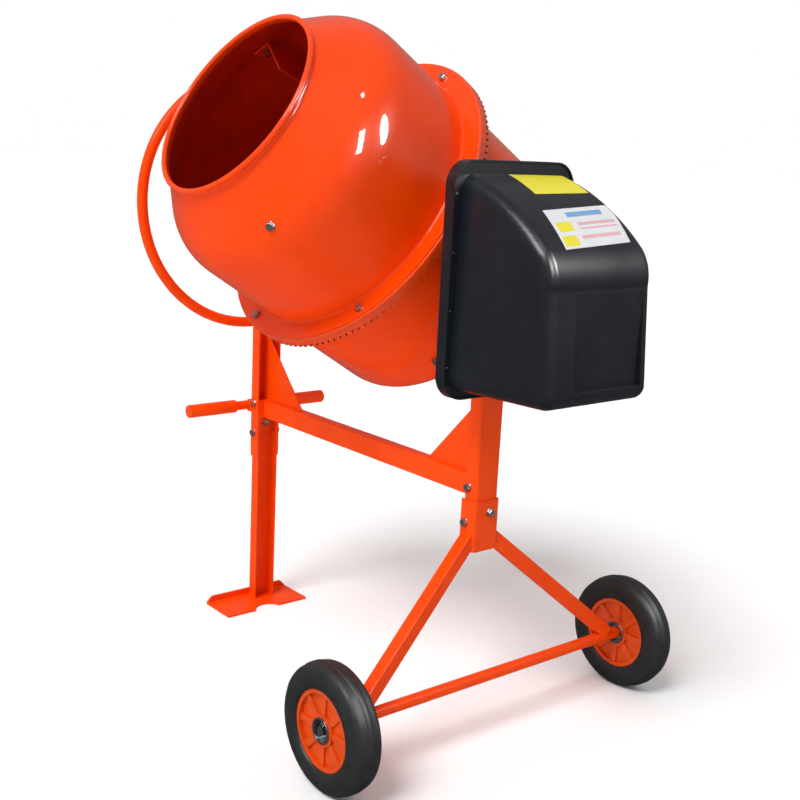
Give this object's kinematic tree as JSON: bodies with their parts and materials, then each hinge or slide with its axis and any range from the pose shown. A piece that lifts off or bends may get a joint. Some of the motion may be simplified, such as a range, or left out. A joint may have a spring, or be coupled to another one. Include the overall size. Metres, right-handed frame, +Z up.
{
  "type": "concrete mixer",
  "caption": "Upright tilting-drum concrete mixer: round drum in a yoke on two posts, handwheel, ring gear drive, motor housing, foot plate and two wheels.",
  "frame": {"origin": "centre of the machine's bounding box, on the ground", "axes": "+Z up; +X along the tilt axis towards the motor and the wheels; -Y the side the drum's mouth points to"},
  "size_m": [1.0374, 0.793, 1.2503],
  "materials": {
    "orange_paint": "gloss powder coat",
    "rim_paint": "satin moulded orange",
    "tyre_rubber": "matt solid rubber",
    "zinc_plate": "bright zinc plating",
    "bare_steel": "turned steel",
    "bush_bronze": "oiled bronze",
    "cast_iron": "machined cast iron",
    "housing_black": "moulded, semi-gloss",
    "black_plastic": "moulded",
    "belt_rubber": "matt",
    "motor_alloy": "die cast",
    "button_green": "gloss",
    "button_red": "gloss"
  },
  "bodies": {
    "frame": {"foot_plate": "orange_paint", "left_post": "orange_paint", "left_head_bracket": "orange_paint", "left_gusset": "orange_paint", "crossbar": "orange_paint", "crossbar_shoes": "orange_paint", "right_gusset": "orange_paint", "right_head_bracket": "orange_paint", "wheel_post": "orange_paint", "strut_near": "orange_paint", "strut_far": "orange_paint", "axle_tube": "orange_paint", "stub_axles": "zinc_plate", "axle_washers": "zinc_plate", "split_pins": "zinc_plate", "handle_bar": "orange_paint", "handle_saddles": "orange_paint", "handle_grips": "orange_paint", "frame_bolts": "zinc_plate", "bearing_tubes": "orange_paint", "trunnion_bushes": "bush_bronze", "lock_housing": "orange_paint", "belt": "belt_rubber", "motor_bracket": "orange_paint", "motor_body": "motor_alloy", "capacitor": "motor_alloy", "back_plate": "housing_black", "motor_cover": "housing_black", "cover_screws": "zinc_plate", "switch_body": "black_plastic", "power_inlet": "black_plastic"},
    "yoke": {"yoke": "orange_paint", "left_trunnion": "bare_steel", "right_trunnion": "bare_steel", "pinion_bearings": "bare_steel", "spindle_housing": "orange_paint", "spindle_bearings": "bare_steel", "handwheel_ring": "orange_paint", "handwheel_hub": "orange_paint", "handwheel_bar": "orange_paint", "lock_disc": "zinc_plate"},
    "drum": {"drum_upper": "orange_paint", "drum_lower": "orange_paint", "ring_gear": "orange_paint", "mixing_blades": "bare_steel", "spindle": "bare_steel", "drum_fasteners": "zinc_plate"},
    "pinion": {"pinion": "cast_iron", "pinion_shaft": "bare_steel", "large_pulley": "black_plastic"},
    "rotor": {"motor_pulley": "motor_alloy", "motor_rotor": "motor_alloy"},
    "wheel_near": {"tyre_near": "tyre_rubber", "rim_near": "rim_paint", "hub_sleeve_near": "zinc_plate"},
    "wheel_far": {"tyre_far": "tyre_rubber", "rim_far": "rim_paint", "hub_sleeve_far": "zinc_plate"},
    "lock_pin": {"lock_pin": "black_plastic"},
    "start_button": {"start_button": "button_green"},
    "stop_button": {"stop_button": "button_red"}
  },
  "joints": [
    {"name": "tilt", "type": "hinge", "parent": "frame", "child": "yoke", "pos_m": [-0.07672, 0.01349, 0.893], "axis": [1, 0, 0], "range_deg": [-58, 77]},
    {"name": "drum_spin", "type": "hinge", "parent": "yoke", "child": "drum", "pos_m": [-0.07672, 0.01349, 0.893], "axis": [0, -0.848, 0.5299], "continuous": true},
    {"name": "pinion_spin", "type": "hinge", "parent": "yoke", "child": "pinion", "pos_m": [-0.07672, 0.01349, 0.893], "axis": [1, 0, 0], "continuous": true},
    {"name": "motor_spin", "type": "hinge", "parent": "frame", "child": "rotor", "pos_m": [-0.07672, 0.01349, 0.716], "axis": [1, 0, 0], "continuous": true},
    {"name": "wheel_near_spin", "type": "hinge", "parent": "frame", "child": "wheel_near", "pos_m": [0.32428, -0.34251, 0.11], "axis": [0, 1, 0], "continuous": true},
    {"name": "wheel_far_spin", "type": "hinge", "parent": "frame", "child": "wheel_far", "pos_m": [0.32428, 0.36949, 0.11], "axis": [0, 1, 0], "continuous": true},
    {"name": "lock_slide", "type": "slide", "parent": "frame", "child": "lock_pin", "axis": [1, 0, 0], "range_m": [0, 0.013]},
    {"name": "start_press", "type": "slide", "parent": "frame", "child": "start_button", "axis": [0, -1, 0], "range_m": [0, 0.003], "stiffness_N_per_m": 600},
    {"name": "stop_press", "type": "slide", "parent": "frame", "child": "stop_button", "axis": [0, -1, 0], "range_m": [0, 0.003], "stiffness_N_per_m": 600}
  ],
  "couplings": [
    {"joint": "pinion_spin", "follows": "drum_spin", "ratio": -6.6},
    {"joint": "motor_spin", "follows": "drum_spin", "ratio": -52.8}
  ]
}
